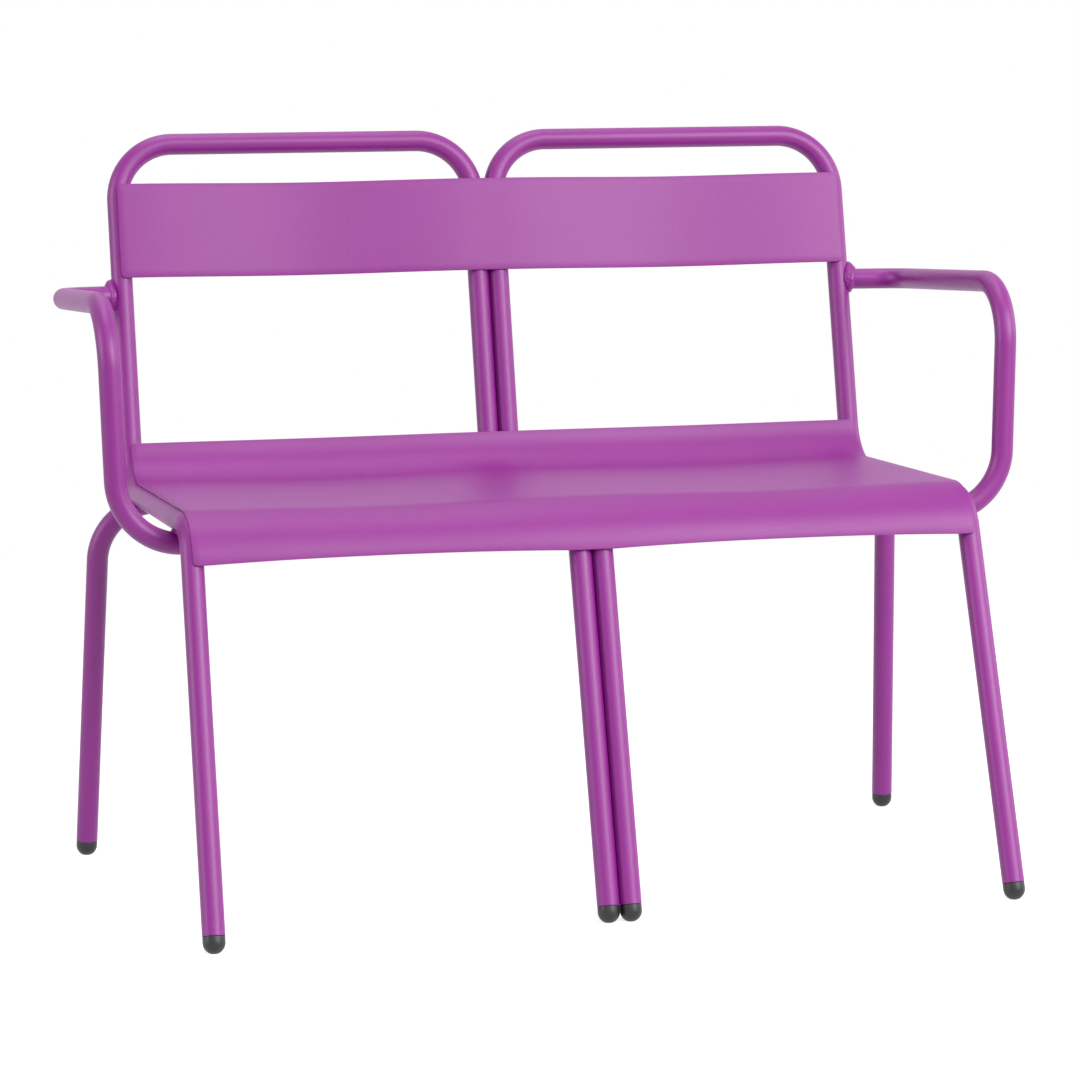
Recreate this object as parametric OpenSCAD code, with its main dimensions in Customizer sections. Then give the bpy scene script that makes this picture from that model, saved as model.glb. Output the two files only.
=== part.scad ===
// Two-seat garden bench of bent round tube with a sheet back rest and a sheet seat.
// Millimetres. +X runs along the bench, +Y points to the rear, +Z is up.
// The origin lies on the floor, under the middle of the bench.

/* [Part to draw] */
// one piece by name, or all of them

/* [Tube] */
// outside diameter of every tube
tube_d = 25; // [20:0.5:30]
// wall thickness of every tube
tube_wall = 1.5; // [1:0.1:2.5]

/* [Seat frames] */
// distance between the two tube centres of one seat frame
frame_width = 434; // [380:2:520]
// height of the seat rail centres above the floor
rail_height = 440; // [400:2:480]
// length of a seat rail, corner to corner
rail_length = 386.5; // [350:0.5:440]
// height of the top bar centres above the floor
top_height = 844; // [780:2:900]
// backward lean of the uprights, degrees
upright_lean = 11.75; // [8:0.25:15]
// forward lean of the two outer front legs, degrees
outer_leg_lean = 17.75; // [12:0.25:20]
// forward lean of the two centre front legs, degrees
centre_leg_lean = 15.25; // [12:0.25:20]
// outward splay of the outer front legs, degrees
outer_leg_splay = 1; // [0:0.25:3]
// bend radius from front leg to seat rail, at the tube centre
front_bend_r = 48; // [40:1:60]
// bend radius from seat rail to upright, at the tube centre
rear_bend_r = 66; // [50:1:75]
// bend radius at the top of the back, at the tube centre
top_bend_r = 68; // [50:1:90]

/* [Rear legs] */
// length of the straight rear crossbar, corner to corner
rear_span = 977; // [960:1:1010]
// how far round the rear bend the crossbar lies, degrees from straight down
rear_bar_angle = 29; // [20:1:35]
// backward lean of the rear legs, degrees
rear_leg_lean = 7.75; // [4:0.25:12]
// outward splay of the rear legs, degrees
rear_leg_splay = 2.25; // [0:0.25:4]
// bend radius from rear leg to crossbar, at the tube centre
rear_leg_bend_r = 69; // [50:1:85]

/* [Armrests] */
// distance between the two armrest tube centres, at the back
arm_span = 1046; // [1020:1:1080]
// distance between the two armrest tube centres, at the lower front bend
arm_low_span = 1031; // [1010:1:1050]
// height of the armrest centre where it leaves the upright
arm_height = 667; // [640:1:675]
// how much higher the armrest is at its front corner
arm_rise = 12.5; // [0:0.5:25]
// how far the rear corner of the armrest lies in front of the upright centre
arm_rear_step = 16; // [6:1:30]
// length of the armrest, rear corner to front corner
arm_length = 354; // [320:1:370]
// how far the under-seat bar lies behind the front corner of the seat rails
arm_bar_setback = 63; // [55:1:90]
// bend radius at the rear corner of the armrest, at the tube centre
arm_rear_bend_r = 42; // [35:1:50]
// bend radius at the front corner of the armrest, at the tube centre
arm_front_bend_r = 70; // [50:1:80]
// bend radius at the lower corner of the armrest, at the tube centre
arm_low_bend_r = 73; // [50:1:85]

/* [Sheet panels] */
// thickness of the seat sheet and of the back sheet
sheet_t = 2.5; // [1.5:0.1:3]
// how far both sheets reach past the outer tube centres
sheet_overhang = 2.5; // [0:0.5:8]
// height of the back sheet, along its slope
back_sheet_h = 112; // [80:1:125]
// how far the middle of the back sheet lies below the top bar centres
back_sheet_drop = 103; // [95:1:110]
// depth of the hollow of the back sheet behind each sitter
back_dish = 9; // [4:0.5:14]
// how far the rear lip of the seat sheet rises above the seat rail centres
seat_lip_rise = 56; // [50:1:70]
// how far the lowest edge of the seat sheet lies below the seat rail centres
seat_apron_drop = 40; // [35:1:45]
// how far the front edge of the seat sheet rises between two legs
apron_rise = 4; // [1:0.5:8]
// radius of the sheet corners
sheet_corner_r = 6; // [3:0.5:9]

/* [Foot caps] */
// length of the straight side of a foot cap
cap_side = 7; // [4:0.5:12]
// depth of the flat worn off the dome where it meets the floor
cap_flat = 1; // [0.6:0.1:2]
// length of the plug inside the tube
cap_plug = 22; // [12:1:30]

/* [Welds] */
// size of the welds between tubes
bead = 3.2; // [2:0.1:4]
// radius of the weld pad where one tube crosses another
pad_r = 8; // [6:0.5:9]
// length of one stitch weld between a sheet and a tube
stitch = 30; // [16:1:40]

/* [Hidden] */
$fn = 96;
// fitting gap between two tubes, or a tube and a sheet, that are welded together
joint_gap = 0.2;
// slack of a plug in its tube, on the radius
plug_slack = 0.15;
// extra length that makes a cutter run past the face it cuts
over = 1;
// a bend of a tube is this much thicker than its straight lengths, inside and out
bend_skin = 0.15;
// straight lengths run this far into the bends that they meet
bend_lap = 0.8;
tube_r = tube_d / 2;
// centre of the outer and of the centre tubes of the seat frames, as distances from the middle
centre_x = tube_r + joint_gap / 2;
outer_x = centre_x + frame_width;
// how far the foot caps lie inside the outline of the tubes
cap_step = 0.2;
cap_r = tube_r - cap_step;
foot_z = cap_r - cap_flat;

function unit(v) = v / norm(v);
// direction down a leg with a lean along y and a splay along x, both in degrees
function leg_dir(lean, splay) = unit([tan(splay), tan(lean), -1]);
// the point where a line from p along d comes to the height z
function at_height(p, d, z) = p + d * (z - p[2]) / d[2];
function turn(a, b, c) = acos(unit(b - a) * unit(c - b));
function setback(a, b, c, r) = r * tan(turn(a, b, c) / 2);
// the same points on the other side of the bench
function flip(points) = [for (p = points) [-p[0], p[1], p[2]]];
function reversed(list) = [for (i = [len(list) - 1:-1:0]) list[i]];

// depth of the bench from the front of the feet to the back of the top bar
front_reach = (rail_height - foot_z) * tan(outer_leg_lean) + cap_r;
top_reach = (top_height - rail_height) * tan(upright_lean) + tube_r;
bench_depth = front_reach + rail_length + top_reach;
// corners of the seat rails along y
front_y = front_reach - bench_depth / 2;
rear_y = front_y + rail_length;
top_y = rear_y + (top_height - rail_height) * tan(upright_lean);

// unit vectors in the side view: up the upright, and square to its front
up_dir = [0, sin(upright_lean), cos(upright_lean)];
up_front = [0, -cos(upright_lean), sin(upright_lean)];
function upright_y(z) = rear_y + (z - rail_height) * tan(upright_lean);

// centres of the two bends of a seat rail in the side view
rear_arc_y = rear_y - rear_bend_r * tan((90 - upright_lean) / 2);
rear_arc_z = rail_height + rear_bend_r;
front_arc_y = front_y + front_bend_r * tan((90 - outer_leg_lean) / 2);
front_arc_z = rail_height - front_bend_r;

// rear crossbar, lying against the outside of the rear bends
rear_bar_reach = rear_bend_r + tube_d + joint_gap;
rear_bar_y = rear_arc_y + rear_bar_reach * sin(rear_bar_angle);
rear_bar_z = rear_arc_z - rear_bar_reach * cos(rear_bar_angle);

// under-seat bar of the arm frame, lying against the underside of the rails
arm_bar_y = front_y + arm_bar_setback;
arm_bar_z = rail_height - tube_d - joint_gap;

outer_leg = leg_dir(-outer_leg_lean, outer_leg_splay);
centre_leg = leg_dir(-centre_leg_lean, 0);
rear_leg = leg_dir(rear_leg_lean, rear_leg_splay);

outer_corner = [outer_x, front_y, rail_height];
centre_corner = [centre_x, front_y, rail_height];
rear_corner = [rear_span / 2, rear_bar_y, rear_bar_z];
// centres of the foot domes
outer_foot = at_height(outer_corner, outer_leg, foot_z);
centre_foot = at_height(centre_corner, centre_leg, foot_z);
rear_foot = at_height(rear_corner, rear_leg, foot_z);

seat_path = [
    outer_foot - outer_leg * cap_side,
    outer_corner,
    [outer_x, rear_y, rail_height],
    [outer_x, top_y, top_height],
    [centre_x, top_y, top_height],
    [centre_x, rear_y, rail_height],
    centre_corner,
    centre_foot - centre_leg * cap_side
];
seat_bends = [front_bend_r, rear_bend_r, top_bend_r, top_bend_r, rear_bend_r, front_bend_r];

rear_path = concat(
    [rear_foot - rear_leg * cap_side, rear_corner],
    reversed(flip([rear_foot - rear_leg * cap_side, rear_corner]))
);
rear_bends = [rear_leg_bend_r, rear_leg_bend_r];

arm_root = [outer_x, upright_y(arm_height), arm_height];
arm_rear_corner = [arm_span / 2, arm_root[1] - arm_rear_step, arm_height];
arm_front_corner = arm_rear_corner + [0, -arm_length, arm_rise];
arm_low_corner = [arm_low_span / 2, arm_bar_y, arm_bar_z];
arm_bar_middle = [0, arm_bar_y, arm_bar_z];
// x at which the last bend of the armrest ends and the bar under the seat runs straight
arm_bend_start = arm_low_corner[0]
    - setback(arm_front_corner, arm_low_corner, arm_bar_middle, arm_low_bend_r);
arm_half = [arm_root, arm_rear_corner, arm_front_corner, arm_low_corner];
arm_path = concat(arm_half, reversed(flip(arm_half)));
arm_half_bends = [arm_rear_bend_r, arm_front_bend_r, arm_low_bend_r];
arm_bends = concat(arm_half_bends, reversed(arm_half_bends));

back_sheet_mid = top_height - back_sheet_drop;
seat_lip_top = rail_height + seat_lip_rise;
seat_apron_bottom = rail_height - seat_apron_drop;
sheet_half = outer_x + sheet_overhang;
sheet_back = tube_r + joint_gap;
sheet_front = sheet_back + sheet_t;

tube_colour = "#92298f";
sheet_colour = "#ac5fac";
cap_colour = "#3c3c40";
weld_colour = "#8a2a88";

// flat strip of the back sheet on each side of a tube centre, before its hollow starts
land = tube_r * 0.8;
dish_half = frame_width / 2 - land;
dish_r = (dish_half * dish_half + back_dish * back_dish) / (2 * back_dish);
dish_steps = 16;
// how far the back sheet is hollowed at the distance u from the middle of a seat
function dish_at(u) = sqrt(dish_r * dish_r - u * u) - dish_r + back_dish;

// turns the z axis to the direction d
module aim(d) {
    rotate([0, acos(d[2]), atan2(d[1], d[0])])
        children();
}

// a solid rod from a to b, as thick as the tube
module rod(a, b) {
    translate(a)
        aim(unit(b - a))
        cylinder(r = tube_r, h = norm(b - a));
}

// a length of tube from a to b
module straight_tube(a, b) {
    translate(a)
        aim(unit(b - a))
        linear_extrude(height = norm(b - a))
        difference() {
            circle(r = tube_r - bend_skin);
            circle(r = tube_r - tube_wall + bend_skin);
        }
}

// puts the z axis on the axis of the bend of radius r at b, on the way from a to c,
// and the x axis to the start of the bend
module at_bend(a, b, c, r) {
    u = unit(b - a);
    v = unit(c - b);
    n = unit(v - (v * u) * u);
    w = cross(u, n);
    o = b - u * setback(a, b, c, r) + n * r;
    multmatrix([
        [-n[0], u[0], w[0], o[0]],
        [-n[1], u[1], w[1], o[1]],
        [-n[2], u[2], w[2], o[2]],
        [0, 0, 0, 1]
    ])
        children();
}

module tube_bend(a, b, c, r) {
    at_bend(a, b, c, r)
        rotate_extrude(angle = turn(a, b, c))
        translate([r, 0])
        difference() {
            circle(r = tube_r);
            circle(r = tube_r - tube_wall);
        }
}

// a solid bend as thick as the tube, fine enough to cut a weld that lies against one
module ring_cutter(r, angle = 360) {
    rotate_extrude(angle = angle, $fn = 360)
        translate([r, 0])
        circle(r = tube_r, $fn = 180);
}

// one tube bent round all the inner points of a path
module bent_tube(path, bends) {
    last = len(path) - 1;
    cut = [for (i = [1:last - 1]) setback(path[i - 1], path[i], path[i + 1], bends[i - 1]) - bend_lap];
    for (i = [0:last - 1]) {
        d = unit(path[i + 1] - path[i]);
        from = i == 0 ? path[i] : path[i] + d * cut[i - 1];
        to = i == last - 1 ? path[i + 1] : path[i + 1] - d * cut[i];
        straight_tube(from, to);
    }
    for (i = [1:last - 1])
        tube_bend(path[i - 1], path[i], path[i + 1], bends[i - 1]);
}

// the left seat frame, one tube from its outer front foot over the back to its centre front foot
module seat_frame_left() {
    color(tube_colour)
        bent_tube(flip(seat_path), seat_bends);
}

module seat_frame_right() {
    color(tube_colour)
        bent_tube(seat_path, seat_bends);
}

module rear_leg_frame() {
    color(tube_colour)
        bent_tube(rear_path, rear_bends);
}

// both armrests and the bar under the seat are one tube, coped at each end to sit on an upright
module arm_frame() {
    color(tube_colour)
        difference() {
            bent_tube(arm_path, arm_bends);
            for (side = [-1, 1])
                upright_cutter(side, tube_r + joint_gap);
        }
}

// a length of one outer upright as a solid rod of radius r, round the root of the armrest
module upright_cutter(side, r) {
    reach = 3 * tube_r;
    translate([side * arm_root[0], arm_root[1], arm_root[2]])
        aim(up_dir)
        cylinder(r = r, h = 2 * reach, center = true);
}

// cuts the square corner at the origin to a round one; the sheet lies at x > 0, y > 0
module corner_cutter(r) {
    difference() {
        translate([-over, -over, -sheet_t - over])
            cube([r + over, r + over, 3 * sheet_t + 2 * over]);
        translate([r, r, -sheet_t - 2 * over])
            cylinder(r = r, h = 3 * sheet_t + 4 * over);
    }
}

// puts the x axis along the bench, the y axis up the upright and z = 0 on the back of the sheets
module on_upright(z) {
    translate([0, upright_y(z), z] + up_front * sheet_back)
        rotate([90 - upright_lean, 0, 0])
        children();
}

// one face of the back sheet seen from above, at z in front of the back of the sheet
function back_face(z) = concat(
    [[-sheet_half, z]],
    dish_points(-(outer_x + centre_x) / 2, z),
    dish_points((outer_x + centre_x) / 2, z),
    [[sheet_half, z]]
);
function dish_points(middle, z) =
    [for (i = [0:dish_steps]) let (u = dish_half * (2 * i / dish_steps - 1)) [middle + u, z - dish_at(u)]];

module back_panel() {
    color(sheet_colour)
        on_upright(back_sheet_mid)
        difference() {
            translate([0, back_sheet_h / 2, 0])
                rotate([90, 0, 0])
                linear_extrude(height = back_sheet_h)
                polygon(concat(back_face(0), reversed(back_face(sheet_t))));
            for (sx = [0, 1], sy = [0, 1])
                mirror([sx, 0, 0])
                    mirror([0, sy, 0])
                    translate([-sheet_half, -back_sheet_h / 2, 0])
                    corner_cutter(sheet_corner_r);
        }
}

// where the apron of the seat sheet starts to run straight down the leg
leg_front = [0, -cos(outer_leg_lean), sin(outer_leg_lean)];
leg_down = [0, -sin(outer_leg_lean), -cos(outer_leg_lean)];
apron_top = [0, front_arc_y, front_arc_z] + leg_front * (front_bend_r + sheet_back);
apron_length = (apron_top[2] - seat_apron_bottom) / cos(outer_leg_lean);
// radius of the shallow arch of the front edge between two legs
arch_chord = frame_width - tube_d;
arch_r = (arch_chord * arch_chord / 4 + apron_rise * apron_rise) / (2 * apron_rise);
// a height on the upright that is safely above the lip
lip_far_z = max(seat_lip_top, rear_arc_z) + tube_d;
// flats in each bend of the seat sheet
arc_steps = 30;

// puts the y axis down the apron, from its top edge, and z = 0 on the back of the sheet
module on_apron() {
    translate(apron_top)
        multmatrix([
            [-1, 0, 0, 0],
            [0, leg_down[1], leg_front[1], 0],
            [0, leg_down[2], leg_front[2], 0],
            [0, 0, 0, 1]
        ])
        children();
}

// points on an arc in the side view, from angle a0 to a1 (0 is +y, 90 is +z)
function arc(y, z, r, a0, a1) =
    [for (i = [0:arc_steps]) let (a = a0 + (a1 - a0) * i / arc_steps) [y + r * cos(a), z + r * sin(a)]];

// one face of the seat sheet in the side view, at the distance d in front of the tube centres
function seat_face(d) = concat(
    [[upright_y(lip_far_z) - d * cos(upright_lean), lip_far_z + d * sin(upright_lean)]],
    arc(rear_arc_y, rear_arc_z, rear_bend_r - d, -upright_lean, -90),
    arc(front_arc_y, front_arc_z, front_bend_r + d, 90, 180 - outer_leg_lean),
    [[front_arc_y, front_arc_z] + (front_bend_r + d) * [leg_front[1], leg_front[2]]
        + apron_length * [leg_down[1], leg_down[2]]]
);

// the outline of the seat sheet in the side view, cut level at the top of the lip
module seat_profile() {
    difference() {
        polygon(concat(seat_face(sheet_back), reversed(seat_face(sheet_front))));
        translate([rear_arc_y, seat_lip_top])
            square([2 * rear_bend_r, 2 * rear_bend_r]);
    }
}

module seat_panel() {
    color(sheet_colour)
        difference() {
            translate([-sheet_half, 0, 0])
                rotate([90, 0, 90])
                linear_extrude(height = 2 * sheet_half)
                seat_profile();
            // rounded lower corners of the apron
            for (sx = [0, 1])
                on_apron()
                    mirror([sx, 0, 0])
                    translate([-sheet_half, apron_length, 0])
                    mirror([0, 1, 0])
                    corner_cutter(sheet_corner_r);
            // rounded upper corners of the lip
            for (sx = [0, 1])
                mirror([sx, 0, 0])
                    translate([-sheet_half, rear_y, seat_lip_top])
                    rotate([90, 0, 0])
                    mirror([0, 1, 0])
                    deep_corner_cutter(sheet_corner_r);
            // shallow arches of the front edge
            for (side = [-1, 1])
                on_apron()
                    translate([side * (outer_x + centre_x) / 2, apron_length - apron_rise + arch_r, -sheet_t])
                    cylinder(r = arch_r, h = 3 * sheet_t, $fn = 720);
        }
}

// cuts the square corner at the origin to a round one, through everything on both sides of z = 0
module deep_corner_cutter(r) {
    difference() {
        translate([-over, -over, -rear_bend_r])
            cube([r + over, r + over, 2 * rear_bend_r]);
        translate([r, r, -rear_bend_r - over])
            cylinder(r = r, h = 2 * rear_bend_r + 2 * over);
    }
}

// a foot cap at the foot f of a leg with the direction d down the leg
module foot_cap(f, d) {
    color(cap_colour)
        difference() {
            translate(f)
                aim(-d)
                union() {
                    sphere(r = cap_r);
                    cylinder(r = cap_r, h = cap_side);
                    translate([0, 0, cap_side - over])
                        cylinder(r = tube_r - tube_wall - plug_slack, h = cap_plug + over);
                }
            translate([f[0] - tube_d, f[1] - tube_d, -tube_d])
                cube([2 * tube_d, 2 * tube_d, tube_d]);
        }
}

module foot_cap_left(f, d) {
    foot_cap([-f[0], f[1], f[2]], [-d[0], d[1], d[2]]);
}

module foot_cap_front_left() {
    foot_cap_left(outer_foot, outer_leg);
}

module foot_cap_front_centre_left() {
    foot_cap_left(centre_foot, centre_leg);
}

module foot_cap_front_centre_right() {
    foot_cap(centre_foot, centre_leg);
}

module foot_cap_front_right() {
    foot_cap(outer_foot, outer_leg);
}

module foot_cap_rear_left() {
    foot_cap_left(rear_foot, rear_leg);
}

module foot_cap_rear_right() {
    foot_cap(rear_foot, rear_leg);
}

// the ring of weld where an armrest stands on its upright
module arm_weld(side) {
    arm_dir = unit(arm_rear_corner - arm_root);
    root = [side * arm_root[0], arm_root[1], arm_root[2]];
    d = [side * arm_dir[0], arm_dir[1], arm_dir[2]];
    reach = tube_r + bead;
    color(weld_colour)
        difference() {
            intersection() {
                upright_cutter(side, reach);
                translate(root)
                    aim(d)
                    cylinder(r = reach - joint_gap, h = 2 * reach);
            }
            upright_cutter(side, tube_r);
            translate(root)
                aim(d)
                translate([0, 0, -over])
                cylinder(r = tube_r, h = 3 * reach);
            // the first bend of the armrest, where it begins close to the upright
            mirror([side < 0 ? 1 : 0, 0, 0])
                at_bend(arm_root, arm_rear_corner, arm_front_corner, arm_rear_bend_r)
                ring_cutter(arm_rear_bend_r, turn(arm_root, arm_rear_corner, arm_front_corner));
        }
}

module arm_weld_left() {
    arm_weld(-1);
}

module arm_weld_right() {
    arm_weld(1);
}

// x of the four seat rails, left to right
rail_x = [-outer_x, -centre_x, centre_x, outer_x];

// the bar under the seat as a cutter round the rail x; at the outer rails its end bend has begun
module arm_bar_cutter(x) {
    if (abs(x) + pad_r < arm_bend_start)
        rod([x - 2 * pad_r, arm_bar_y, arm_bar_z], [x + 2 * pad_r, arm_bar_y, arm_bar_z]);
    else
        mirror([x < 0 ? 1 : 0, 0, 0])
            at_bend(arm_front_corner, arm_low_corner, arm_bar_middle, arm_low_bend_r)
            ring_cutter(arm_low_bend_r);
}

// a weld pad between a rail and the bar under it, at the rail x
module front_pad(x) {
    contact_z = rail_height - tube_r;
    difference() {
        translate([x, arm_bar_y, contact_z - joint_gap / 2])
            cylinder(r = pad_r, h = 2 * bead, center = true);
        rod([x, arm_bar_y - 2 * pad_r, rail_height], [x, arm_bar_y + 2 * pad_r, rail_height]);
        arm_bar_cutter(x);
    }
}

module front_bar_welds() {
    color(weld_colour)
        for (x = rail_x)
            front_pad(x);
}

// a weld pad between the rear crossbar and the rear bend of the rail at x
module rear_pad(x) {
    out = [0, sin(rear_bar_angle), -cos(rear_bar_angle)];
    difference() {
        translate([x, rear_arc_y, rear_arc_z] + out * (rear_bend_r + tube_r + joint_gap / 2))
            aim(out)
            cylinder(r = pad_r, h = 2 * bead, center = true);
        translate([x, rear_arc_y, rear_arc_z])
            rotate([0, 90, 0])
            ring_cutter(rear_bend_r);
        rod([x - 2 * pad_r, rear_bar_y, rear_bar_z], [x + 2 * pad_r, rear_bar_y, rear_bar_z]);
    }
}

module rear_bar_welds() {
    color(weld_colour)
        for (x = rail_x)
            rear_pad(x);
}

// section of a stitch weld in the notch between a sheet, which lies at y > sheet_back,
// and a tube at the origin
module stitch_section(side) {
    notch = tube_r * 0.45;
    difference() {
        intersection() {
            translate([side * notch, sheet_back])
                circle(r = bead);
            translate([-tube_d, 0])
                square([2 * tube_d, sheet_back]);
        }
        circle(r = tube_r);
    }
}

// stitch welds along the outer and the centre rail of one seat, on the sides that face each other
module seat_stitches(side) {
    length = rear_arc_y - front_arc_y;
    color(weld_colour)
        for (k = [0, 1], t = [0.25, 0.75])
            translate([side * (k == 0 ? outer_x : centre_x), front_arc_y + length * t, rail_height])
            translate([0, stitch / 2, 0])
            rotate([90, 0, 0])
            linear_extrude(height = stitch)
            stitch_section(k == 0 ? -side : side);
}

module seat_welds_left() {
    seat_stitches(-1);
}

module seat_welds_right() {
    seat_stitches(1);
}

// stitch welds behind the back sheet, along both uprights of one seat
module back_stitches(side) {
    color(weld_colour)
        for (k = [0, 1], t = [-0.25, 0.25])
            translate([side * (k == 0 ? outer_x : centre_x), upright_y(back_sheet_mid), back_sheet_mid]
                + up_dir * (back_sheet_h * t + stitch / 2))
            rotate([90 - upright_lean, 0, 0])
            rotate([90, 0, 0])
            linear_extrude(height = stitch)
            stitch_section(k == 0 ? -side : side);
}

module back_welds_left() {
    back_stitches(-1);
}

module back_welds_right() {
    back_stitches(1);
}

seat_frame_left();
seat_frame_right();
rear_leg_frame();
arm_frame();
seat_panel();
back_panel();
foot_cap_front_left();
foot_cap_front_centre_left();
foot_cap_front_centre_right();
foot_cap_front_right();
foot_cap_rear_left();
foot_cap_rear_right();
arm_weld_left();
arm_weld_right();
front_bar_welds();
rear_bar_welds();
seat_welds_left();
seat_welds_right();
back_welds_left();
back_welds_right();
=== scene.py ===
import math
import bpy
from mathutils import Matrix, Vector


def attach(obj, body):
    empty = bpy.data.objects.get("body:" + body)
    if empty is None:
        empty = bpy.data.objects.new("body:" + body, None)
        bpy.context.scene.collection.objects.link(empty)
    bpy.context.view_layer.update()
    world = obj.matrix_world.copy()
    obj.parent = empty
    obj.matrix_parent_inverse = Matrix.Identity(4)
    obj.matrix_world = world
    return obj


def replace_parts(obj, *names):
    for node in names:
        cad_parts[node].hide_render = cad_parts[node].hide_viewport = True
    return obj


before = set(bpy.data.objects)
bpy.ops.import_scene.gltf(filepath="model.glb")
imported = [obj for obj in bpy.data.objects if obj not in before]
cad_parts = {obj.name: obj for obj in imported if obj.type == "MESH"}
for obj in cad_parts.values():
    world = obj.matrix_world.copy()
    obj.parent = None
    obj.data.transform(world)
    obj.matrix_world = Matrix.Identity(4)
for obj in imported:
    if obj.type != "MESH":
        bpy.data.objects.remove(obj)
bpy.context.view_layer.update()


# Camera
# A long lens from the front left of the bench, a little above its top bar, as in the photograph.
CAMERA_AT = (-1.1649, -4.3131, 0.9232)
CAMERA_YAW = 0.2615
CAMERA_PITCH = -0.119
CAMERA_ROLL = -0.009648
CAMERA_LENS = 129.98
CAMERA_SENSOR = 36
camera_turn = (
    Matrix.Rotation(-CAMERA_YAW, 3, "Z")
    @ Matrix.Rotation(math.pi / 2 + CAMERA_PITCH, 3, "X")
    @ Matrix.Rotation(CAMERA_ROLL, 3, "Z")
)
bpy.ops.object.camera_add(location=CAMERA_AT, rotation=camera_turn.to_euler())
camera = bpy.context.object
camera.data.lens = CAMERA_LENS
camera.data.sensor_width = CAMERA_SENSOR
bpy.context.scene.camera = camera
bpy.context.scene.view_settings.view_transform = "Standard"


# Studio
# A white room with large soft boxes. The main one stands in front and a little to the right, and puts the
# long pale streak on every tube. The white floor throws light up at the legs, and fades out into the white of
# the room a few steps away from the bench.
ROOM_LIGHT = 0.12
WHITE = (1, 1, 1, 1)
LOOK_AT = Vector((0, 0, 0.5))
LAMP_DISTANCE = 6
# name, degrees to the right of straight ahead, degrees above the floor, diameter in metres, power in watts
SOFT_BOXES = (
    ("front_right_soft_box", 34, 25, 4.0, 268),
    ("front_soft_box", -4, 34, 3.4, 58),
    ("right_soft_box", 90, 15, 3.4, 60),
    ("left_soft_box", -86, 17, 3.4, 104),
    ("top_soft_box", 0, 88, 3.4, 90),
    ("rear_soft_box", 180, 60, 4.2, 35),
)
FLOOR_GREY = 0.66
FLOOR_GLOW = 0.78
FLOOR_SIDES = 96
FLOOR_FADE_FROM = 1.3
FLOOR_FADE_TO = 3.2


def add_node(tree, kind, inputs=None, **settings):
    """A node with its settings; inputs holds a value or the socket that feeds each named input."""
    node = tree.nodes.new(kind)
    for name, value in settings.items():
        setattr(node, name, value)
    for name, value in (inputs or {}).items():
        if isinstance(value, bpy.types.NodeSocket):
            tree.links.new(value, node.inputs[name])
        else:
            node.inputs[name].default_value = value
    return node


def seen_directly(tree):
    """1 on camera, mirror and glass rays, 0 on the rays that carry soft light."""
    path = add_node(tree, "ShaderNodeLightPath").outputs
    seen = path["Is Camera Ray"]
    for kind in ("Is Glossy Ray", "Is Transmission Ray"):
        seen = add_node(tree, "ShaderNodeMath", {0: seen, 1: path[kind]}, operation="MAXIMUM").outputs[0]
    return seen


world = bpy.data.worlds.new("white_room")
bpy.context.scene.world = world
world.use_nodes = True
room = world.node_tree
room.nodes.clear()
soft_room = add_node(room, "ShaderNodeBackground", {"Color": WHITE, "Strength": ROOM_LIGHT})
white_room = add_node(room, "ShaderNodeBackground", {"Color": WHITE, "Strength": 1.0})
room_mix = add_node(room, "ShaderNodeMixShader", {
    0: seen_directly(room), 1: soft_room.outputs[0], 2: white_room.outputs[0],
})
add_node(room, "ShaderNodeOutputWorld", {"Surface": room_mix.outputs[0]})

for name, azimuth, elevation, size, power in SOFT_BOXES:
    around = math.radians(azimuth)
    up = math.radians(elevation)
    away = Vector((math.sin(around) * math.cos(up), -math.cos(around) * math.cos(up), math.sin(up)))
    bpy.ops.object.light_add(
        type="AREA",
        location=LOOK_AT + away * LAMP_DISTANCE,
        rotation=away.to_track_quat("Z", "Y").to_euler(),
    )
    lamp = bpy.context.object
    lamp.name = lamp.data.name = name
    lamp.data.shape = "DISK"
    lamp.data.size = size
    lamp.data.energy = power
    lamp.visible_camera = False

bpy.ops.mesh.primitive_circle_add(vertices=FLOOR_SIDES, radius=FLOOR_FADE_TO, fill_type="NGON")
floor = bpy.context.object
floor.name = floor.data.name = "floor"
floor_paint = bpy.data.materials.new("white_floor")
floor_paint.use_nodes = True
paint = floor_paint.node_tree
paint.nodes.clear()
floor_diffuse = add_node(paint, "ShaderNodeBsdfDiffuse", {"Color": (FLOOR_GREY, FLOOR_GREY, FLOOR_GREY, 1)})
floor_glow = add_node(paint, "ShaderNodeEmission", {"Color": WHITE, "Strength": FLOOR_GLOW})
floor_lit = add_node(paint, "ShaderNodeAddShader", {0: floor_diffuse.outputs[0], 1: floor_glow.outputs[0]})
floor_seen = add_node(paint, "ShaderNodeMixShader", {
    0: seen_directly(paint), 1: floor_diffuse.outputs[0], 2: floor_lit.outputs[0],
})
# from below the floor isn't there, and from above it fades out with the distance from the bench
floor_place = add_node(paint, "ShaderNodeTexCoord").outputs["Object"]
floor_distance = add_node(paint, "ShaderNodeVectorMath", {0: floor_place}, operation="LENGTH")
floor_fade = add_node(paint, "ShaderNodeMapRange", {
    "Value": floor_distance.outputs["Value"], "From Min": FLOOR_FADE_FROM, "From Max": FLOOR_FADE_TO,
}, interpolation_type="SMOOTHSTEP")
floor_below = add_node(paint, "ShaderNodeNewGeometry").outputs["Backfacing"]
floor_gone = add_node(paint, "ShaderNodeMath", {
    0: floor_fade.outputs[0], 1: floor_below,
}, operation="MAXIMUM")
floor_open = add_node(paint, "ShaderNodeBsdfTransparent")
floor_mix = add_node(paint, "ShaderNodeMixShader", {
    0: floor_gone.outputs[0], 1: floor_seen.outputs[0], 2: floor_open.outputs[0],
})
add_node(paint, "ShaderNodeOutputMaterial", {"Surface": floor_mix.outputs[0]})
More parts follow.
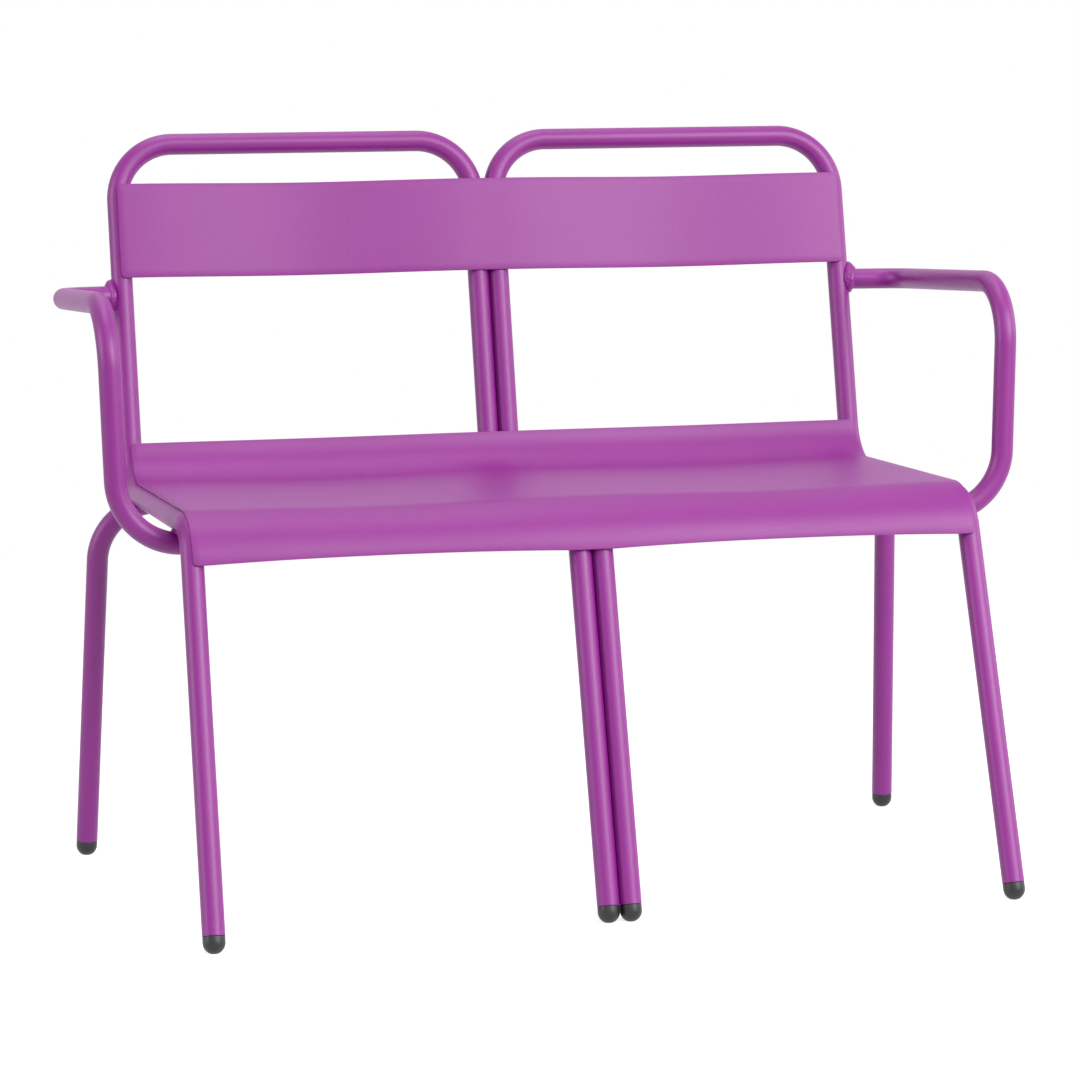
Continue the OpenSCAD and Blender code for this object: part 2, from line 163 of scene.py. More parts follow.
floor.data.materials.append(floor_paint)


# Powder coat
# Every metal piece of the bench is sprayed with purple polyester powder and baked. The powder flows out to a
# satin skin with a fine orange peel, whose thickness drifts a little along a piece.
COAT_COLOUR = "#961F93"
COAT_DEEP = "#8C1C89"
COAT_IOR = 1.58
# the real peel is about 0.6 mm from hill to hill, drawn at 1.6 mm so that it shows
PEEL_SIZE = 0.0016
PEEL_DEPTH = 0.00026
PEEL_STRENGTH = 0.6
# slow changes of the coat's thickness along a piece
DRIFT_SIZE = 0.09


def linear(colour):
    """The linear colour of an sRGB hex value."""
    parts = [int(colour[i:i + 2], 16) / 255 for i in (1, 3, 5)]
    return [c / 12.92 if c <= 0.04045 else ((c + 0.055) / 1.055) ** 2.4 for c in parts] + [1]


def powder_coat(name, gloss_low, gloss_high):
    """Baked polyester powder: a satin skin whose peel breaks up the edges of its highlights."""
    material = bpy.data.materials.new(name)
    material.use_nodes = True
    tree = material.node_tree
    tree.nodes.clear()
    place = add_node(tree, "ShaderNodeTexCoord").outputs["Object"]
    drift = add_node(tree, "ShaderNodeTexNoise", {"Vector": place, "Scale": 1 / DRIFT_SIZE, "Detail": 3})
    peel = add_node(tree, "ShaderNodeTexNoise", {"Vector": place, "Scale": 1 / PEEL_SIZE, "Detail": 2})
    colour = add_node(tree, "ShaderNodeMix", {
        "Factor": drift.outputs["Fac"], 6: linear(COAT_DEEP), 7: linear(COAT_COLOUR),
    }, data_type="RGBA")
    gloss = add_node(tree, "ShaderNodeMapRange", {
        "Value": peel.outputs["Fac"], "To Min": gloss_low, "To Max": gloss_high,
    })
    bump = add_node(tree, "ShaderNodeBump", {
        "Height": peel.outputs["Fac"], "Strength": PEEL_STRENGTH, "Distance": PEEL_DEPTH,
    })
    skin = add_node(tree, "ShaderNodeBsdfPrincipled", {
        "Base Color": colour.outputs[2], "Roughness": gloss.outputs[0], "IOR": COAT_IOR,
        "Normal": bump.outputs[0],
    })
    add_node(tree, "ShaderNodeOutputMaterial", {"Surface": skin.outputs[0]})
    return material


tube_coat = powder_coat("powder_coat_on_tube", gloss_low=0.36, gloss_high=0.46)


# Seat frames
# Two bent loops of 25 mm steel tube, each one length from its outer front foot along the seat rail, up the
# back, over the top and down again to the centre front foot. The bends are drawn on a mandrel and stay round.
TUBE_R = 0.0125
TUBE_WALL = 0.0015
TUBE_SIDES = 48
# edges that turn by more than this are shaded sharp
TUBE_SHARP = math.radians(40)
BEND_STEP = math.radians(3)
# tubes and sheets that touch are drawn this far apart
TOUCH_GAP = 0.0002
# how deep the open tube ends are drawn, and how far round a tube end its own ring lies
END_DEPTH = 0.02
END_REACH = TUBE_R * 1.05
MERGE_DISTANCE = 0.00001
# all heights and places are those of the centre lines of the tubes
RAIL_Z = 0.440
TOP_Z = 0.844
FRONT_Y = -0.166752
REAR_Y = FRONT_Y + 0.3865
CENTRE_X = 0.0126
OUTER_X = 0.4466
FRONT_BEND = 0.048
REAR_BEND = 0.066
TOP_BEND = 0.068
UPRIGHT_LEAN = math.radians(11.75)
LEG_LEAN = math.radians(17.75)
LEG_SPLAY = math.radians(1)
CENTRE_LEG_LEAN = math.radians(15.25)
# the dome of a foot cap has its centre this far below the end of the tube, and this far above the floor
CAP_SIDE = 0.007
CAP_CENTRE_Z = 0.0113


def upright_y(z):
    """How far back the uprights are at height z."""
    return REAR_Y + (z - RAIL_Z) * math.tan(UPRIGHT_LEAN)


def leg_end(corner, lean, splay):
    """The lower end of the leg that comes down from corner, leaning forwards by lean, outwards by splay."""
    down = Vector((math.tan(splay), -math.tan(lean), -1))
    return corner + down * (corner.z - CAP_CENTRE_Z) - down.normalized() * CAP_SIDE


def bent_tube(name, points, bends):
    """A tube along the points, bent round each inner one, with a small lip at both cut ends."""
    bpy.ops.object.select_all(action="DESELECT")
    away = (points[1] - points[0]).normalized()
    bpy.ops.mesh.primitive_circle_add(
        vertices=TUBE_SIDES,
        radius=TUBE_R,
        fill_type="NOTHING",
        location=points[0],
        rotation=away.to_track_quat("Z", "Y").to_euler(),
    )
    tube = bpy.context.object
    tube.name = tube.data.name = name
    bpy.ops.object.transform_apply(location=True, rotation=True, scale=True)
    bpy.ops.object.mode_set(mode="EDIT")
    bpy.ops.mesh.select_mode(type="VERT")
    bpy.ops.mesh.select_all(action="SELECT")
    at = points[0]
    for before, corner, after, radius in zip(points, points[1:], points[2:], bends):
        along = (corner - before).normalized()
        leaving = (after - corner).normalized()
        angle = along.angle(leaving)
        inward = (leaving - leaving.dot(along) * along).normalized()
        bend_start = corner - along * radius * math.tan(angle / 2)
        bpy.ops.mesh.extrude_region_move(TRANSFORM_OT_translate={"value": bend_start - at})
        bpy.ops.mesh.spin(
            steps=math.ceil(angle / BEND_STEP),
            angle=angle,
            center=bend_start + inward * radius,
            axis=inward.cross(along),
        )
        at = corner + leaving * radius * math.tan(angle / 2)
    bpy.ops.mesh.extrude_region_move(TRANSFORM_OT_translate={"value": points[-1] - at})
    for end, inside in ((points[-1], points[-2]), (points[0], points[1])):
        inward = (inside - end).normalized()
        bpy.ops.mesh.select_all(action="DESELECT")
        bpy.ops.object.mode_set(mode="OBJECT")
        for vertex in tube.data.vertices:
            vertex.select = (vertex.co - end).length < END_REACH
        bpy.ops.object.mode_set(mode="EDIT")
        bpy.ops.mesh.extrude_region_move()
        bpy.ops.transform.resize(value=(1 - TUBE_WALL / TUBE_R,) * 3, center_override=end)
        bpy.ops.mesh.extrude_region_move(TRANSFORM_OT_translate={"value": inward * END_DEPTH})
        bpy.ops.mesh.edge_face_add()
    bpy.ops.mesh.select_all(action="SELECT")
    bpy.ops.mesh.remove_doubles(threshold=MERGE_DISTANCE)
    bpy.ops.mesh.normals_make_consistent(inside=False)
    bpy.ops.object.mode_set(mode="OBJECT")
    bpy.ops.object.shade_smooth_by_angle(angle=TUBE_SHARP)
    return tube


def mirrored(points):
    """The same points on the other side of the bench."""
    return [Vector((-p.x, p.y, p.z)) for p in points]


OUTER_CORNER = Vector((OUTER_X, FRONT_Y, RAIL_Z))
CENTRE_CORNER = Vector((CENTRE_X, FRONT_Y, RAIL_Z))
SEAT_PATH = [
    leg_end(OUTER_CORNER, LEG_LEAN, LEG_SPLAY),
    OUTER_CORNER,
    Vector((OUTER_X, REAR_Y, RAIL_Z)),
    Vector((OUTER_X, upright_y(TOP_Z), TOP_Z)),
    Vector((CENTRE_X, upright_y(TOP_Z), TOP_Z)),
    Vector((CENTRE_X, REAR_Y, RAIL_Z)),
    CENTRE_CORNER,
    leg_end(CENTRE_CORNER, CENTRE_LEG_LEAN, 0),
]
SEAT_BENDS = [FRONT_BEND, REAR_BEND, TOP_BEND, TOP_BEND, REAR_BEND, FRONT_BEND]
for side, path in (("left", mirrored(SEAT_PATH)), ("right", SEAT_PATH)):
    loop = bent_tube(f"seat_frame_{side}_tube", path, SEAT_BENDS)
    loop.data.materials.append(tube_coat)
    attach(loop, "root")
    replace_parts(loop, f"seat_frame_{side}")


# Rear leg frame
# One wide loop of the same tube: two rear legs and the crossbar that the four rear bends lie on.
REAR_CORNER_X = 0.4885
REAR_LEG_LEAN = math.radians(7.75)
REAR_LEG_SPLAY = math.radians(2.25)
REAR_LEG_BEND = 0.069
REAR_BAR_ANGLE = math.radians(29)
# the centre of the rear bends, and the way from there to the crossbar
rear_arc = Vector((0, REAR_Y - REAR_BEND * math.tan((math.pi / 2 - UPRIGHT_LEAN) / 2), RAIL_Z + REAR_BEND))
rear_out = Vector((0, math.sin(REAR_BAR_ANGLE), -math.cos(REAR_BAR_ANGLE)))
REAR_CORNER = Vector((REAR_CORNER_X, 0, 0)) + rear_arc + rear_out * (REAR_BEND + TUBE_R * 2 + TOUCH_GAP)
REAR_PATH = [leg_end(REAR_CORNER, -REAR_LEG_LEAN, REAR_LEG_SPLAY), REAR_CORNER]
rear_loop = bent_tube("rear_leg_frame_tube", REAR_PATH + mirrored(REAR_PATH)[::-1], [REAR_LEG_BEND] * 2)
rear_loop.data.materials.append(tube_coat)
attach(rear_loop, "root")
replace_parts(rear_loop, "rear_leg_frame")


# Armrests
# Both armrests and the bar under the seat are one tube. Each end is welded to the side of an outer upright.
ARM_X = 0.523
ARM_ROOT_Z = 0.667
# from its root on the upright the tube comes forwards to its rear corner, and rises to its front one
ARM_SWING = 0.016
ARM_LENGTH = 0.354
ARM_RISE = 0.0125
ARM_UNDER_X = 0.5155
ARM_BAR_Y = FRONT_Y + 0.063
ARM_BENDS = [0.042, 0.070, 0.073]
ARM_ROOT = Vector((OUTER_X, upright_y(ARM_ROOT_Z), ARM_ROOT_Z))
ARM_REAR = Vector((ARM_X, ARM_ROOT.y - ARM_SWING, ARM_ROOT_Z))
ARM_FRONT = ARM_REAR + Vector((0, -ARM_LENGTH, ARM_RISE))
ARM_UNDER = Vector((ARM_UNDER_X, ARM_BAR_Y, RAIL_Z - TUBE_R * 2 - TOUCH_GAP))
# cut square, the end of the tube butts against the side of the upright
ARM_END = ARM_ROOT + (ARM_REAR - ARM_ROOT).normalized() * (TUBE_R + TOUCH_GAP)
ARM_PATH = [ARM_END, ARM_REAR, ARM_FRONT, ARM_UNDER]
arm_loop = bent_tube("arm_frame_tube", ARM_PATH + mirrored(ARM_PATH)[::-1], ARM_BENDS + ARM_BENDS[::-1])
arm_loop.data.materials.append(tube_coat)
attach(arm_loop, "root")
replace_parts(arm_loop, "arm_frame")


# Seat sheet
# One sheet of 2.5 mm steel, rolled to the rear bends and the front bends of the four rails and welded on
# them. Between the rails of a seat it is drawn a little hollow, and its front edge rises in a shallow arch.
SHEET_T = 0.0025
SHEET_OVERHANG = 0.0025
SHEET_HALF = OUTER_X + SHEET_OVERHANG
SHEET_CORNER = 0.005
SHEET_ROUNDING = SHEET_T * 0.22
SHEET_ROUND_FROM = math.radians(50)
SHEET_SHARP = math.radians(35)
SHEET_COLUMNS = 98
SEAT_ROWS = 24
LIP_BEND_STEPS = 12
APRON_BEND_STEPS = 24
SEAT_LIP_TOP = 0.496
SEAT_APRON_BOTTOM = 0.400
SEAT_MIDDLE = (OUTER_X + CENTRE_X) / 2
SEAT_HOLLOW = 0.003
APRON_RISE = 0.004
# half the free width between the tubes of one seat; beside each tube a narrow land stays flat
TUBE_LAND = 0.010
HOLLOW_REACH = (OUTER_X - CENTRE_X) / 2 - TUBE_LAND
# how near a vertex lies to the line or edge that it belongs to
NEAR = 0.0001
NEAR_EDGE = 0.001
# the bottom row of the apron, hollowed or not, lies within this height
APRON_ROW = 0.003

sheet_coat = powder_coat("powder_coat_on_sheet", gloss_low=0.42, gloss_high=0.52)


def pick(piece, wanted):
    """Selects the vertices that wanted(place) says, in edit mode."""
    bpy.ops.mesh.select_all(action="DESELECT")
    bpy.ops.object.mode_set(mode="OBJECT")
    for vertex in piece.data.vertices:
        vertex.select = not vertex.hide and wanted(vertex.co)
    bpy.ops.object.mode_set(mode="EDIT")


def begin_sheet(name, middle, tilt, width, height, rows):
    """A flat grid, wide along the bench, left in edit mode with nothing selected."""
    bpy.ops.object.select_all(action="DESELECT")
    bpy.ops.mesh.primitive_grid_add(
        x_subdivisions=SHEET_COLUMNS,
        y_subdivisions=rows,
        size=1,
        location=middle,
        rotation=(tilt, 0, 0),
    )
    sheet = bpy.context.object
    sheet.name = sheet.data.name = name
    sheet.scale = (width, height, 1)
    bpy.ops.object.transform_apply(location=True, rotation=True, scale=True)
    bpy.ops.object.mode_set(mode="EDIT")
    bpy.ops.mesh.select_mode(type="VERT")
    bpy.ops.mesh.select_all(action="DESELECT")
    return sheet


def nearest_column(piece, x):
    """The x of the column of vertices that lies nearest to x."""
    return min((vertex.co.x for vertex in piece.data.vertices), key=lambda at: abs(at - x))


def hollow(sheet, depth):
    """Draws the sheet back between the tubes of each seat, along its own normals, with a soft slope."""
    for middle in (-SEAT_MIDDLE, SEAT_MIDDLE):
        column = nearest_column(sheet, middle)
        pick(sheet, lambda place: abs(place.x - column) < NEAR_EDGE)
        bpy.ops.transform.shrink_fatten(
            value=-depth,
            use_proportional_edit=True,
            proportional_edit_falloff="SMOOTH",
            proportional_size=HOLLOW_REACH,
        )


def finish_sheet(sheet):
    """Rounds the four corners, gives the sheet its thickness and takes the sharpness off its edges."""
    bpy.ops.mesh.bevel(affect="VERTICES", offset=SHEET_CORNER, segments=5)
    bpy.ops.object.mode_set(mode="OBJECT")
    bpy.ops.object.modifier_add(type="SOLIDIFY")
    sheet.modifiers[-1].thickness = SHEET_T
    sheet.modifiers[-1].offset = 1
    bpy.ops.object.modifier_apply(modifier=sheet.modifiers[-1].name)
    bpy.ops.object.modifier_add(type="BEVEL")
    sheet.modifiers[-1].width = SHEET_ROUNDING
    sheet.modifiers[-1].segments = 2
    sheet.modifiers[-1].limit_method = "ANGLE"
    sheet.modifiers[-1].angle_limit = SHEET_ROUND_FROM
    bpy.ops.object.modifier_apply(modifier=sheet.modifiers[-1].name)
    bpy.ops.object.shade_smooth_by_angle(angle=SHEET_SHARP)


sheet_back = TUBE_R + TOUCH_GAP
front_arc = Vector((0, FRONT_Y + FRONT_BEND * math.tan((math.pi / 2 - LEG_LEAN) / 2), RAIL_Z - FRONT_BEND))
seat = begin_sheet(
    "seat_sheet",
    (0, (rear_arc.y + front_arc.y) / 2, RAIL_Z + sheet_back),
    0,
    2 * SHEET_HALF,
    rear_arc.y - front_arc.y,
    SEAT_ROWS,
)
pick(seat, lambda place: place.y > rear_arc.y - NEAR)
bpy.ops.mesh.spin(steps=LIP_BEND_STEPS, angle=math.pi / 2 - UPRIGHT_LEAN, center=rear_arc, axis=(-1, 0, 0))
lip_rise = SEAT_LIP_TOP - rear_arc.z + (REAR_BEND - sheet_back) * math.sin(UPRIGHT_LEAN)
bpy.ops.mesh.extrude_region_move(
    TRANSFORM_OT_translate={"value": (0, lip_rise * math.tan(UPRIGHT_LEAN), lip_rise)}
)
# the straight end of the lip is short, so it shares its faces with the last step of the bend
lip_row = SEAT_LIP_TOP - lip_rise
pick(seat, lambda place: place.y > rear_arc.y and abs(place.z - lip_row) < NEAR * 2)
bpy.ops.mesh.dissolve_edges(use_verts=True)
pick(seat, lambda place: place.y < front_arc.y + NEAR)
bpy.ops.mesh.spin(steps=APRON_BEND_STEPS, angle=math.pi / 2 - LEG_LEAN, center=front_arc, axis=(-1, 0, 0))
apron_drop = front_arc.z + (FRONT_BEND + sheet_back) * math.sin(LEG_LEAN) - SEAT_APRON_BOTTOM
bpy.ops.mesh.extrude_region_move(
    TRANSFORM_OT_translate={"value": (0, -apron_drop * math.tan(LEG_LEAN), -apron_drop)}
)
hollow(seat, SEAT_HOLLOW)
# only the bottom row of the apron stays in sight while its arches are drawn
pick(seat, lambda place: place.z > SEAT_APRON_BOTTOM + APRON_ROW)
bpy.ops.mesh.hide()
for middle in (-SEAT_MIDDLE, SEAT_MIDDLE):
    column = nearest_column(seat, middle)
    pick(seat, lambda place: abs(place.x - column) < NEAR_EDGE and place.z < SEAT_APRON_BOTTOM + APRON_ROW)
    bpy.ops.transform.translate(
        value=(0, APRON_RISE * math.tan(LEG_LEAN), APRON_RISE),
        use_proportional_edit=True,
        proportional_edit_falloff="INVERSE_SQUARE",
        proportional_size=HOLLOW_REACH,
    )
bpy.ops.mesh.reveal(select=False)
pick(seat, lambda place: abs(place.x) > SHEET_HALF - NEAR_EDGE and (
    place.z > SEAT_LIP_TOP - NEAR_EDGE or place.z < SEAT_APRON_BOTTOM + NEAR_EDGE
))
finish_sheet(seat)
seat.data.materials.append(sheet_coat)
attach(seat, "root")
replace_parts(seat, "seat_panel")


# Back rest sheet
# A plain strip of the same sheet, welded to the front of the four uprights and pressed hollow behind each
# sitter.
BACK_H = 0.112
BACK_DROP = 0.103
BACK_MIDDLE_Z = TOP_Z - BACK_DROP
BACK_HOLLOW = 0.0105
BACK_ROWS = 12
upright_front = Vector((0, -math.cos(UPRIGHT_LEAN), math.sin(UPRIGHT_LEAN)))
back_line = Vector((0, upright_y(BACK_MIDDLE_Z), BACK_MIDDLE_Z))
back_middle = back_line + upright_front * sheet_back
back = begin_sheet("back_sheet", back_middle, math.pi / 2 - UPRIGHT_LEAN, 2 * SHEET_HALF, BACK_H, BACK_ROWS)
hollow(back, BACK_HOLLOW)
reach = BACK_H / 2 * math.cos(UPRIGHT_LEAN) - NEAR_EDGE
pick(back, lambda place: abs(place.x) > SHEET_HALF - NEAR_EDGE and abs(place.z - back_middle.z) > reach)
finish_sheet(back)
back.data.materials.append(sheet_coat)
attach(back, "root")
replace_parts(back, "back_panel")


# Foot caps
# Six caps of black polypropylene, moulded with a domed foot and a ribbed plug that holds in the tube end.
# Each has a rounded rim, so that a thin dark line shows between the cap and the tube.
CAP_R = 0.0123
CAP_SEGMENTS = 48
CAP_RIM = 0.0011
CAP_RIM_STEPS = 3
CAP_SHARP = math.radians(45)
CAP_CUT_THRESHOLD = 0.000001
CAP_COLOUR = "#1D1D20"
CAP_IOR = 1.49
# the grain of the mould is about 0.1 mm, drawn at 0.8 mm so that it shows
CAP_GRAIN = 0.0008
CAP_GRAIN_DEPTH = 0.0001
CAP_GRAIN_STRENGTH = 0.3


def moulded_plastic(name, gloss_low, gloss_high):
    """Black polypropylene from a spark-eroded mould: a fine even grain that spreads its highlights."""
    material = bpy.data.materials.new(name)
    material.use_nodes = True
    tree = material.node_tree
    tree.nodes.clear()
    place = add_node(tree, "ShaderNodeTexCoord").outputs["Object"]
    grain = add_node(tree, "ShaderNodeTexNoise", {"Vector": place, "Scale": 1 / CAP_GRAIN, "Detail": 2})
    gloss = add_node(tree, "ShaderNodeMapRange", {
        "Value": grain.outputs["Fac"], "To Min": gloss_low, "To Max": gloss_high,
    })
    bump = add_node(tree, "ShaderNodeBump", {
        "Height": grain.outputs["Fac"], "Strength": CAP_GRAIN_STRENGTH, "Distance": CAP_GRAIN_DEPTH,
    })
    skin = add_node(tree, "ShaderNodeBsdfPrincipled", {
        "Base Color": linear(CAP_COLOUR), "Roughness": gloss.outputs[0], "IOR": CAP_IOR,
        "Normal": bump.outputs[0],
    })
    add_node(tree, "ShaderNodeOutputMaterial", {"Surface": skin.outputs[0]})
    return material


cap_plastic = moulded_plastic("moulded_cap_plastic", gloss_low=0.34, gloss_high=0.48)


def foot_cap(name, tube_end, up):
    """A dome at the end of a leg, flat where it stands, with its rim against the tube end."""
    centre = tube_end - up * CAP_SIDE
    bpy.ops.object.select_all(action="DESELECT")
    bpy.ops.mesh.primitive_uv_sphere_add(
        segments=CAP_SEGMENTS,
        ring_count=CAP_SEGMENTS // 2,
        radius=CAP_R,
        location=centre,
        rotation=up.to_track_quat("Z", "Y").to_euler(),
    )
    cap = bpy.context.object
    cap.name = cap.data.name = name
    bpy.ops.object.transform_apply(location=True, rotation=True, scale=True)
    bpy.ops.object.mode_set(mode="EDIT")
    bpy.ops.mesh.select_mode(type="VERT")
    # the upper half goes, and the open edge at the widest ring is drawn up into the side
    pick(cap, lambda place: (place - centre).dot(up) > NEAR)
    bpy.ops.mesh.delete(type="VERT")
    pick(cap, lambda place: (place - centre).dot(up) > -NEAR)
    bpy.ops.mesh.extrude_region_move(TRANSFORM_OT_translate={"value": up * (CAP_SIDE - CAP_RIM)})
    # the rim is a quarter round, and each ring is a little smaller than the one under it
    below = 0
    for step in range(CAP_RIM_STEPS):
        above = (step + 1) * math.pi / 2 / CAP_RIM_STEPS
        rise = CAP_RIM * (math.sin(above) - math.sin(below))
        narrower = (CAP_R - CAP_RIM * (1 - math.cos(above))) / (CAP_R - CAP_RIM * (1 - math.cos(below)))
        bpy.ops.mesh.extrude_region_move(TRANSFORM_OT_translate={"value": up * rise})
        bpy.ops.transform.resize(value=(narrower,) * 3, center_override=tube_end)
        below = above
    bpy.ops.mesh.edge_face_add()
    bpy.ops.mesh.select_all(action="SELECT")
    bpy.ops.mesh.bisect(
        plane_co=(0, 0, 0), plane_no=(0, 0, -1), clear_outer=True, use_fill=True, threshold=CAP_CUT_THRESHOLD
    )
    bpy.ops.mesh.select_all(action="SELECT")
    bpy.ops.mesh.normals_make_consistent(inside=False)
    bpy.ops.object.mode_set(mode="OBJECT")
    bpy.ops.object.shade_smooth_by_angle(angle=CAP_SHARP)
    return cap


for foot, path, end in (
    ("front", SEAT_PATH, 0),
    ("front_centre", SEAT_PATH, -1),
    ("rear", REAR_PATH, 0),
):
    for side in ("left", "right"):
        points = path if side == "right" else mirrored(path)
        inside = points[1] if end == 0 else points[-2]
        cap = foot_cap(f"{foot}_{side}_cap", points[end], (inside - points[end]).normalized())
        cap.data.materials.append(cap_plastic)
        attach(cap, "root")
        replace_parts(cap, f"foot_cap_{foot}_{side}")


# Welds
# Beads of weld metal, laid puddle by puddle and painted over with the rest. The rings where the armrests meet
# the uprights show from the front, heaped highest on top. The others lie under the seat and behind the back.
PUDDLE_STEP = 0.0026
WELD_VOXEL = 0.0006
WELD_SMOOTHING = 7


def weld(name, puddles):
    """Overlapping puddles, each a place and a radius, run together into one closed lumpy skin."""
    bpy.ops.object.select_all(action="DESELECT")
    for count, (place, radius) in enumerate(puddles):
        bpy.ops.mesh.primitive_ico_sphere_add(subdivisions=2, radius=radius, location=place)
        if count == 0:
            bpy.ops.object.mode_set(mode="EDIT")
    bpy.ops.object.mode_set(mode="OBJECT")
    bead = bpy.context.object
    bead.name = bead.data.name = name
    bpy.ops.object.transform_apply(location=True, rotation=True, scale=True)
    bpy.ops.object.modifier_add(type="REMESH")
    bead.modifiers[-1].mode = "VOXEL"
    bead.modifiers[-1].voxel_size = WELD_VOXEL
    bpy.ops.object.modifier_apply(modifier=bead.modifiers[-1].name)
    bpy.ops.object.modifier_add(type="SMOOTH")
    bead.modifiers[-1].iterations = WELD_SMOOTHING
    bpy.ops.object.modifier_apply(modifier=bead.modifiers[-1].name)
    bpy.ops.object.shade_smooth()
    bead.data.materials.append(tube_coat)
    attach(bead, "root")
    return bead


def uneven(count, least, most):
    """A size between least and most that changes from puddle to puddle, by two waves out of step."""
    return least + (most - least) * (0.5 + 0.5 * math.sin(2.4 * count) * math.cos(0.9 * count))


# the way up along the uprights
UP = Vector((0, math.sin(UPRIGHT_LEAN), math.cos(UPRIGHT_LEAN)))
# each bead round an armrest fills up the step between the tube's square end and the round side of the
# upright, in rows of puddles from the one to the other
ARM_BEAD_STEPS = 36
ARM_BEAD_ROWS = (0.18, 0.34, 0.5, 0.66, 0.82)
ARM_PUDDLE_LEAST = 0.0022
ARM_PUDDLE_MOST = 0.0034
PUDDLE_SUNK = 0.75
LUMP_LEAST = -0.0005
LUMP_MOST = 0.0008
ARM_LEG_BELOW = 0.0048
ARM_LEG_UNEVEN = 0.1
ARM_LEG_TAPER = 0.7
BEAD_SWELL = 0.0005
BEAD_SIDE_SWELL = 0.0022
BEAD_TILT = 0.4
# laid by hand: the left bead is narrow with a round lump on top, the right one broad and flat
ARM_BEADS = (
    # side, hand, leg on top, how far the bead reaches round the upright, how round its top is
    ("left", -1, 0.0072, 0.42, 0.0018),
    ("right", 1, 0.0092, 0.88, 0.0005),
)
for side, hand, leg_top, reach, crown in ARM_BEADS:
    root = Vector((hand * ARM_ROOT.x, ARM_ROOT.y, ARM_ROOT.z))
    corner = Vector((hand * ARM_REAR.x, ARM_REAR.y, ARM_REAR.z))
    along = (corner - root).normalized()
    over = (UP - UP.dot(along) * along).normalized()
    beside = along.cross(over)
    puddles = []
    for count in range(ARM_BEAD_STEPS):
        turn = 2 * math.pi * count / ARM_BEAD_STEPS
        leg = ARM_LEG_BELOW + (leg_top - ARM_LEG_BELOW) * (0.5 + 0.5 * math.cos(turn)) ** ARM_LEG_TAPER
        leg *= uneven(count, 1 - ARM_LEG_UNEVEN, 1 + ARM_LEG_UNEVEN)
        ring = math.cos(turn) * over + math.sin(turn) * beside
        aside = TUBE_R * reach * math.sin(turn)
        on_arm = root + along * (TUBE_R + leg) + ring * TUBE_R
        on_upright = root + over * math.cos(turn) * (TUBE_R + leg) + beside * aside
        on_upright += along * math.sqrt(TUBE_R ** 2 - aside ** 2)
        chord = (on_upright - on_arm).normalized()
        outward = ring + along * BEAD_TILT
        outward = (outward - outward.dot(chord) * chord).normalized()
        swell = BEAD_SWELL + (crown - BEAD_SWELL) * max(0, math.cos(turn))
        swell += BEAD_SIDE_SWELL * math.sin(turn) ** 2
        for row, share in enumerate(ARM_BEAD_ROWS):
            radius = uneven(count * 3 + row * 5, ARM_PUDDLE_LEAST, ARM_PUDDLE_MOST)
            height = swell * math.sin(math.pi * share) + uneven(count * 2 + row * 7, LUMP_LEAST, LUMP_MOST)
            place = on_arm.lerp(on_upright, share) + outward * (height - radius * PUDDLE_SUNK)
            puddles.append((place, radius))
    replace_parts(weld(f"arm_{side}_weld", puddles), f"arm_weld_{side}")

# rings of puddles where two tubes cross; they touch at one point and part to all sides from there
CROSSING_R = 0.0085
CROSSING_PUDDLES = 18
PAD_PUDDLE = 0.0028
# beside the bends of the rear leg frame the tubes part by a little more, and the pads there are fatter
END_PAD_PUDDLE = 0.0038
END_PAD_DROP = 0.0015
PAD_UNEVEN = 0.85
RAIL_XS = (-OUTER_X, -CENTRE_X, CENTRE_X, OUTER_X)


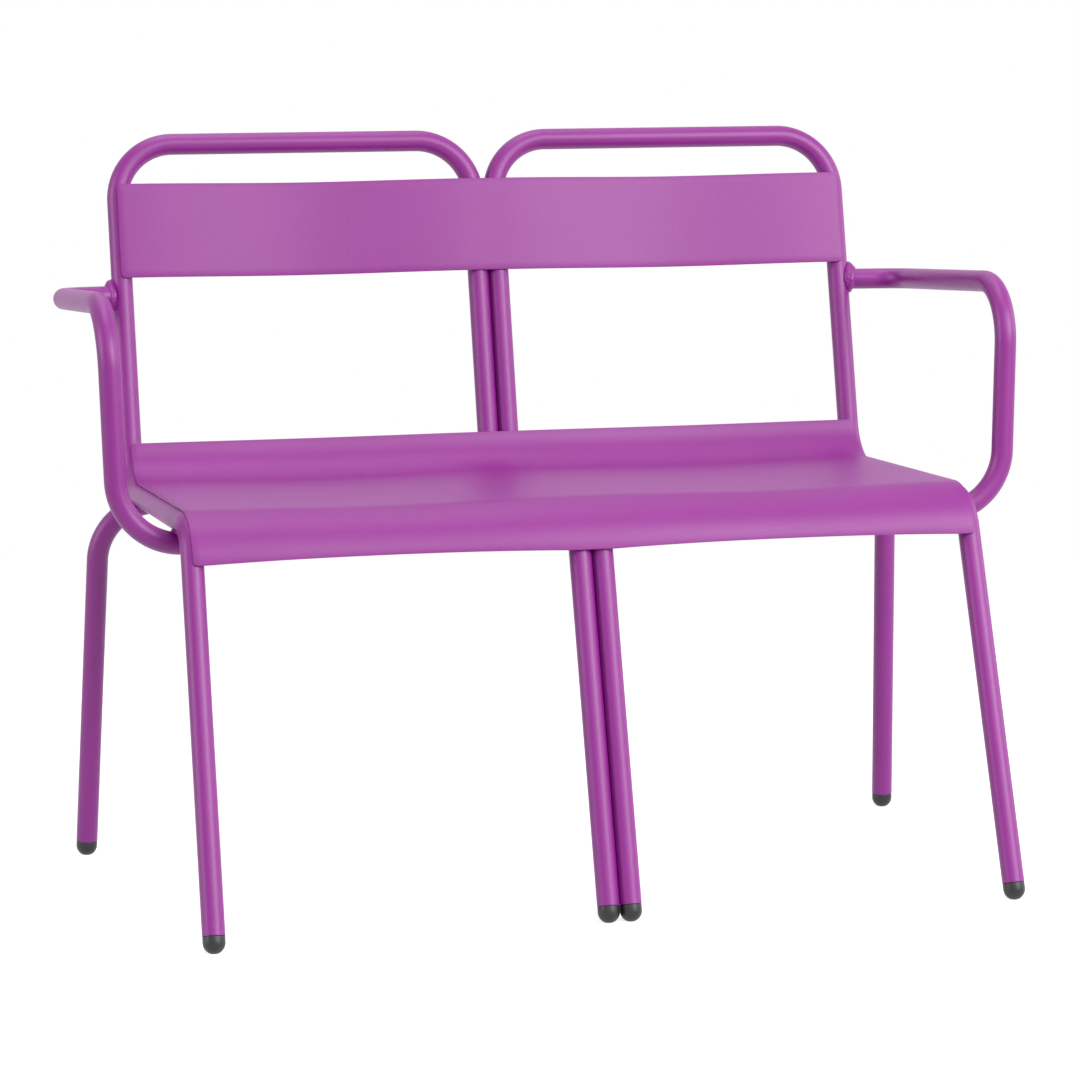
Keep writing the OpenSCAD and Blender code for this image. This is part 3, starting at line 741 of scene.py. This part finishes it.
def crossing(touch, out, size):
    """Puddles round the point where a rail, above, touches a bar, below, that runs along the bench."""
    sideways = Vector((1, 0, 0))
    lengthways = out.cross(sideways)
    ring = []
    for count in range(CROSSING_PUDDLES):
        turn = 2 * math.pi * count / CROSSING_PUDDLES
        a = CROSSING_R * math.cos(turn)
        b = CROSSING_R * math.sin(turn)
        middle = (b * b - a * a) / (4 * TUBE_R)
        place = touch + sideways * a + lengthways * b + out * middle
        ring.append((place, uneven(count, size * PAD_UNEVEN, size)))
    return ring


front_puddles = []
rear_puddles = []
for x in RAIL_XS:
    front_puddles += crossing(Vector((x, ARM_UNDER.y, RAIL_Z - TUBE_R)), Vector((0, 0, -1)), PAD_PUDDLE)
    size, drop = (END_PAD_PUDDLE, END_PAD_DROP) if abs(x) > SEAT_MIDDLE else (PAD_PUDDLE, 0)
    rear_touch = Vector((x, rear_arc.y, rear_arc.z)) + rear_out * (REAR_BEND + TUBE_R + drop)
    rear_puddles += crossing(rear_touch, rear_out, size)
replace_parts(weld("front_bar_weld_pads", front_puddles), "front_bar_welds")
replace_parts(weld("rear_bar_weld_pads", rear_puddles), "rear_bar_welds")

# short runs in the notch between a sheet and a tube, on the side that faces the other tube of the same seat
STITCH = 0.030
STITCH_NOTCH = 0.0066
STITCH_SINK = 0.0012
STITCH_R = 0.0021
STITCH_R_MOST = STITCH_R * 1.25


def stitch(start, way):
    """One run of puddles from start along way, a unit vector."""
    steps = range(round(STITCH / PUDDLE_STEP))
    return [(start + way * PUDDLE_STEP * count, uneven(count, STITCH_R, STITCH_R_MOST)) for count in steps]


for side, hand in (("left", -1), ("right", 1)):
    seat_puddles = []
    back_puddles = []
    for x in (OUTER_X - STITCH_NOTCH, CENTRE_X + STITCH_NOTCH):
        # two runs on each tube, a quarter of the sheet's depth or height from either end
        for share in (0.25, 0.75):
            y = front_arc.y + (rear_arc.y - front_arc.y) * share - STITCH / 2
            seat_puddles += stitch(Vector((hand * x, y, RAIL_Z + TUBE_R - STITCH_SINK)), Vector((0, 1, 0)))
        for share in (-0.25, 0.25):
            start = back_line + UP * (BACK_H * share - STITCH / 2) + upright_front * (TUBE_R - STITCH_SINK)
            back_puddles += stitch(Vector((hand * x, start.y, start.z)), UP)
    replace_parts(weld(f"seat_{side}_stitches", seat_puddles), f"seat_welds_{side}")
    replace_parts(weld(f"back_{side}_stitches", back_puddles), f"back_welds_{side}")
